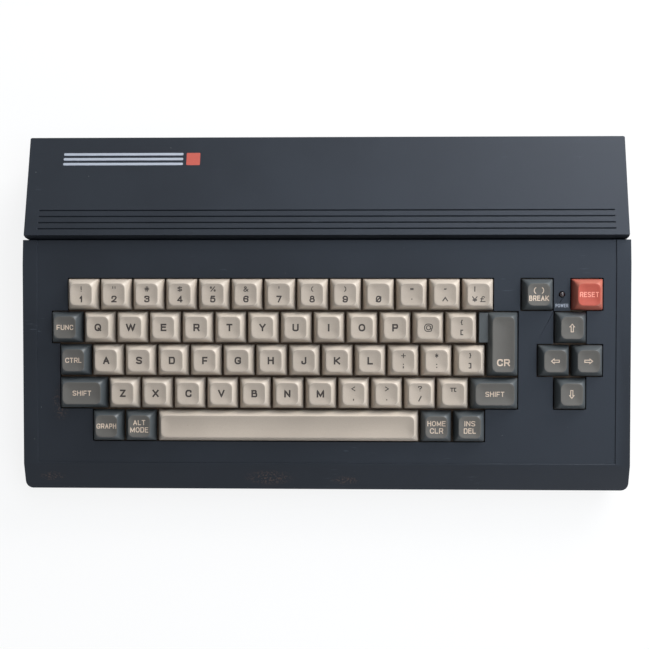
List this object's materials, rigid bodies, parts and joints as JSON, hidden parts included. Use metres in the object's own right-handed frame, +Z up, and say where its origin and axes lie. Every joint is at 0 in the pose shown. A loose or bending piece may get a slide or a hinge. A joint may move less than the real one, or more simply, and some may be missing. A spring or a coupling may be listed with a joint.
{
  "type": "vintage home computer",
  "caption": "Wedge-shaped home computer with a sloping keyboard deck, a rear hood, pressing keys, a sprung cartridge door and a row of rear sockets.",
  "frame": {"origin": "on the table, under the middle of the case", "axes": "+X to the typist's right, +Y to the rear with the sockets, +Z up"},
  "size_m": [0.353, 0.2076, 0.046],
  "materials": {
    "dark_case": "fine texture",
    "cream_key": "satin",
    "dark_key": "satin",
    "red_key": "satin",
    "frame_plastic": "matt",
    "circuit_board": "lacquered",
    "tin_plate": "tinned",
    "socket_black": "matt",
    "foot_rubber": "matt",
    "lamp_lens": "clear red"
  },
  "bodies": {
    "case": {"upper_case": "dark_case", "lower_case": "dark_case", "keyboard_frame": "frame_plastic", "keyboard_circuit_board": "circuit_board", "main_circuit_board": "circuit_board", "rf_modulator": "tin_plate", "cartridge_connector": "socket_black", "power_lamp": "lamp_lens", "power_jack": "socket_black", "video_socket": "socket_black", "printer_socket": "socket_black", "joystick_ports": "socket_black", "cassette_jacks": "socket_black", "front_foot_strip": "foot_rubber", "rear_foot_strip": "foot_rubber"},
    "cartridge_door": {"cartridge_door": "dark_case"},
    "power_switch_lever": {"power_switch_lever": "socket_black"},
    "channel_switch_lever": {"channel_switch_lever": "socket_black"},
    "key_space": {"key_space": "cream_key"},
    "key_return": {"key_return": "dark_key"},
    "key_reset": {"key_reset": "red_key"},
    "key_break": {"key_break": "dark_key"},
    "key_function": {"key_function": "dark_key"},
    "key_control": {"key_control": "dark_key"},
    "key_shift_left": {"key_shift_left": "dark_key"},
    "key_shift_right": {"key_shift_right": "dark_key"},
    "key_graphics": {"key_graphics": "dark_key"},
    "key_alternate": {"key_alternate": "dark_key"},
    "key_home": {"key_home": "dark_key"},
    "key_insert": {"key_insert": "dark_key"},
    "key_up": {"key_up": "dark_key"},
    "key_left": {"key_left": "dark_key"},
    "key_right": {"key_right": "dark_key"},
    "key_down": {"key_down": "dark_key"},
    "number_row_keys": {"number_row_keys": "cream_key"},
    "lower_row_keys": {"lower_row_keys": "cream_key"},
    "key_q": {"key_q": "cream_key"},
    "key_w": {"key_w": "cream_key"},
    "key_e": {"key_e": "cream_key"},
    "key_r": {"key_r": "cream_key"},
    "key_t": {"key_t": "cream_key"},
    "key_y": {"key_y": "cream_key"},
    "key_u": {"key_u": "cream_key"},
    "key_i": {"key_i": "cream_key"},
    "key_o": {"key_o": "cream_key"},
    "key_p": {"key_p": "cream_key"},
    "key_at": {"key_at": "cream_key"},
    "key_brace_left": {"key_brace_left": "cream_key"},
    "key_a": {"key_a": "cream_key"},
    "key_s": {"key_s": "cream_key"},
    "key_d": {"key_d": "cream_key"},
    "key_f": {"key_f": "cream_key"},
    "key_g": {"key_g": "cream_key"},
    "key_h": {"key_h": "cream_key"},
    "key_j": {"key_j": "cream_key"},
    "key_k": {"key_k": "cream_key"},
    "key_l": {"key_l": "cream_key"},
    "key_plus": {"key_plus": "cream_key"},
    "key_colon": {"key_colon": "cream_key"},
    "key_brace_right": {"key_brace_right": "cream_key"}
  },
  "joints": [
    {"name": "cartridge_door_swing", "type": "hinge", "parent": "case", "child": "cartridge_door", "pos_m": [0.171, 0.0505, 0.0223], "axis": [0, 1, 0], "range_deg": [0, 85], "stiffness_Nm_per_rad": 0.004, "springref_deg": -17.19},
    {"name": "power_switch_slide", "type": "slide", "parent": "case", "child": "power_switch_lever", "axis": [1, 0, 0], "range_m": [0, 0.0035]},
    {"name": "channel_switch_slide", "type": "slide", "parent": "case", "child": "channel_switch_lever", "axis": [1, 0, 0], "range_m": [0, 0.0025]},
    {"name": "key_space_press", "type": "slide", "parent": "case", "child": "key_space", "axis": [0, 0.1132, -0.9936], "range_m": [0, 0.0035], "stiffness_N_per_m": 160, "springref_m": -0.004},
    {"name": "key_return_press", "type": "slide", "parent": "case", "child": "key_return", "axis": [0, 0.1132, -0.9936], "range_m": [0, 0.0035], "stiffness_N_per_m": 120, "springref_m": -0.004},
    {"name": "key_reset_press", "type": "slide", "parent": "case", "child": "key_reset", "axis": [0, 0.1132, -0.9936], "range_m": [0, 0.0035], "stiffness_N_per_m": 100, "springref_m": -0.004},
    {"name": "key_break_press", "type": "slide", "parent": "case", "child": "key_break", "axis": [0, 0.1132, -0.9936], "range_m": [0, 0.0035], "stiffness_N_per_m": 100, "springref_m": -0.004},
    {"name": "key_function_press", "type": "slide", "parent": "case", "child": "key_function", "axis": [0, 0.1132, -0.9936], "range_m": [0, 0.0035], "stiffness_N_per_m": 100, "springref_m": -0.004},
    {"name": "key_control_press", "type": "slide", "parent": "case", "child": "key_control", "axis": [0, 0.1132, -0.9936], "range_m": [0, 0.0035], "stiffness_N_per_m": 100, "springref_m": -0.004},
    {"name": "key_shift_left_press", "type": "slide", "parent": "case", "child": "key_shift_left", "axis": [0, 0.1132, -0.9936], "range_m": [0, 0.0035], "stiffness_N_per_m": 100, "springref_m": -0.004},
    {"name": "key_shift_right_press", "type": "slide", "parent": "case", "child": "key_shift_right", "axis": [0, 0.1132, -0.9936], "range_m": [0, 0.0035], "stiffness_N_per_m": 100, "springref_m": -0.004},
    {"name": "key_graphics_press", "type": "slide", "parent": "case", "child": "key_graphics", "axis": [0, 0.1132, -0.9936], "range_m": [0, 0.0035], "stiffness_N_per_m": 100, "springref_m": -0.004},
    {"name": "key_alternate_press", "type": "slide", "parent": "case", "child": "key_alternate", "axis": [0, 0.1132, -0.9936], "range_m": [0, 0.0035], "stiffness_N_per_m": 100, "springref_m": -0.004},
    {"name": "key_home_press", "type": "slide", "parent": "case", "child": "key_home", "axis": [0, 0.1132, -0.9936], "range_m": [0, 0.0035], "stiffness_N_per_m": 100, "springref_m": -0.004},
    {"name": "key_insert_press", "type": "slide", "parent": "case", "child": "key_insert", "axis": [0, 0.1132, -0.9936], "range_m": [0, 0.0035], "stiffness_N_per_m": 100, "springref_m": -0.004},
    {"name": "key_up_press", "type": "slide", "parent": "case", "child": "key_up", "axis": [0, 0.1132, -0.9936], "range_m": [0, 0.0035], "stiffness_N_per_m": 100, "springref_m": -0.004},
    {"name": "key_left_press", "type": "slide", "parent": "case", "child": "key_left", "axis": [0, 0.1132, -0.9936], "range_m": [0, 0.0035], "stiffness_N_per_m": 100, "springref_m": -0.004},
    {"name": "key_right_press", "type": "slide", "parent": "case", "child": "key_right", "axis": [0, 0.1132, -0.9936], "range_m": [0, 0.0035], "stiffness_N_per_m": 100, "springref_m": -0.004},
    {"name": "key_down_press", "type": "slide", "parent": "case", "child": "key_down", "axis": [0, 0.1132, -0.9936], "range_m": [0, 0.0035], "stiffness_N_per_m": 100, "springref_m": -0.004},
    {"name": "number_row_keys_press", "type": "slide", "parent": "case", "child": "number_row_keys", "axis": [0, 0.1132, -0.9936], "range_m": [0, 0.0035], "stiffness_N_per_m": 900, "springref_m": -0.004},
    {"name": "lower_row_keys_press", "type": "slide", "parent": "case", "child": "lower_row_keys", "axis": [0, 0.1132, -0.9936], "range_m": [0, 0.0035], "stiffness_N_per_m": 800, "springref_m": -0.004},
    {"name": "key_q_press", "type": "slide", "parent": "case", "child": "key_q", "axis": [0, 0.1132, -0.9936], "range_m": [0, 0.0035], "stiffness_N_per_m": 100, "springref_m": -0.004},
    {"name": "key_w_press", "type": "slide", "parent": "case", "child": "key_w", "axis": [0, 0.1132, -0.9936], "range_m": [0, 0.0035], "stiffness_N_per_m": 100, "springref_m": -0.004},
    {"name": "key_e_press", "type": "slide", "parent": "case", "child": "key_e", "axis": [0, 0.1132, -0.9936], "range_m": [0, 0.0035], "stiffness_N_per_m": 100, "springref_m": -0.004},
    {"name": "key_r_press", "type": "slide", "parent": "case", "child": "key_r", "axis": [0, 0.1132, -0.9936], "range_m": [0, 0.0035], "stiffness_N_per_m": 100, "springref_m": -0.004},
    {"name": "key_t_press", "type": "slide", "parent": "case", "child": "key_t", "axis": [0, 0.1132, -0.9936], "range_m": [0, 0.0035], "stiffness_N_per_m": 100, "springref_m": -0.004},
    {"name": "key_y_press", "type": "slide", "parent": "case", "child": "key_y", "axis": [0, 0.1132, -0.9936], "range_m": [0, 0.0035], "stiffness_N_per_m": 100, "springref_m": -0.004},
    {"name": "key_u_press", "type": "slide", "parent": "case", "child": "key_u", "axis": [0, 0.1132, -0.9936], "range_m": [0, 0.0035], "stiffness_N_per_m": 100, "springref_m": -0.004},
    {"name": "key_i_press", "type": "slide", "parent": "case", "child": "key_i", "axis": [0, 0.1132, -0.9936], "range_m": [0, 0.0035], "stiffness_N_per_m": 100, "springref_m": -0.004},
    {"name": "key_o_press", "type": "slide", "parent": "case", "child": "key_o", "axis": [0, 0.1132, -0.9936], "range_m": [0, 0.0035], "stiffness_N_per_m": 100, "springref_m": -0.004},
    {"name": "key_p_press", "type": "slide", "parent": "case", "child": "key_p", "axis": [0, 0.1132, -0.9936], "range_m": [0, 0.0035], "stiffness_N_per_m": 100, "springref_m": -0.004},
    {"name": "key_at_press", "type": "slide", "parent": "case", "child": "key_at", "axis": [0, 0.1132, -0.9936], "range_m": [0, 0.0035], "stiffness_N_per_m": 100, "springref_m": -0.004},
    {"name": "key_brace_left_press", "type": "slide", "parent": "case", "child": "key_brace_left", "axis": [0, 0.1132, -0.9936], "range_m": [0, 0.0035], "stiffness_N_per_m": 100, "springref_m": -0.004},
    {"name": "key_a_press", "type": "slide", "parent": "case", "child": "key_a", "axis": [0, 0.1132, -0.9936], "range_m": [0, 0.0035], "stiffness_N_per_m": 100, "springref_m": -0.004},
    {"name": "key_s_press", "type": "slide", "parent": "case", "child": "key_s", "axis": [0, 0.1132, -0.9936], "range_m": [0, 0.0035], "stiffness_N_per_m": 100, "springref_m": -0.004},
    {"name": "key_d_press", "type": "slide", "parent": "case", "child": "key_d", "axis": [0, 0.1132, -0.9936], "range_m": [0, 0.0035], "stiffness_N_per_m": 100, "springref_m": -0.004},
    {"name": "key_f_press", "type": "slide", "parent": "case", "child": "key_f", "axis": [0, 0.1132, -0.9936], "range_m": [0, 0.0035], "stiffness_N_per_m": 100, "springref_m": -0.004},
    {"name": "key_g_press", "type": "slide", "parent": "case", "child": "key_g", "axis": [0, 0.1132, -0.9936], "range_m": [0, 0.0035], "stiffness_N_per_m": 100, "springref_m": -0.004},
    {"name": "key_h_press", "type": "slide", "parent": "case", "child": "key_h", "axis": [0, 0.1132, -0.9936], "range_m": [0, 0.0035], "stiffness_N_per_m": 100, "springref_m": -0.004},
    {"name": "key_j_press", "type": "slide", "parent": "case", "child": "key_j", "axis": [0, 0.1132, -0.9936], "range_m": [0, 0.0035], "stiffness_N_per_m": 100, "springref_m": -0.004},
    {"name": "key_k_press", "type": "slide", "parent": "case", "child": "key_k", "axis": [0, 0.1132, -0.9936], "range_m": [0, 0.0035], "stiffness_N_per_m": 100, "springref_m": -0.004},
    {"name": "key_l_press", "type": "slide", "parent": "case", "child": "key_l", "axis": [0, 0.1132, -0.9936], "range_m": [0, 0.0035], "stiffness_N_per_m": 100, "springref_m": -0.004},
    {"name": "key_plus_press", "type": "slide", "parent": "case", "child": "key_plus", "axis": [0, 0.1132, -0.9936], "range_m": [0, 0.0035], "stiffness_N_per_m": 100, "springref_m": -0.004},
    {"name": "key_colon_press", "type": "slide", "parent": "case", "child": "key_colon", "axis": [0, 0.1132, -0.9936], "range_m": [0, 0.0035], "stiffness_N_per_m": 100, "springref_m": -0.004},
    {"name": "key_brace_right_press", "type": "slide", "parent": "case", "child": "key_brace_right", "axis": [0, 0.1132, -0.9936], "range_m": [0, 0.0035], "stiffness_N_per_m": 100, "springref_m": -0.004}
  ]
}
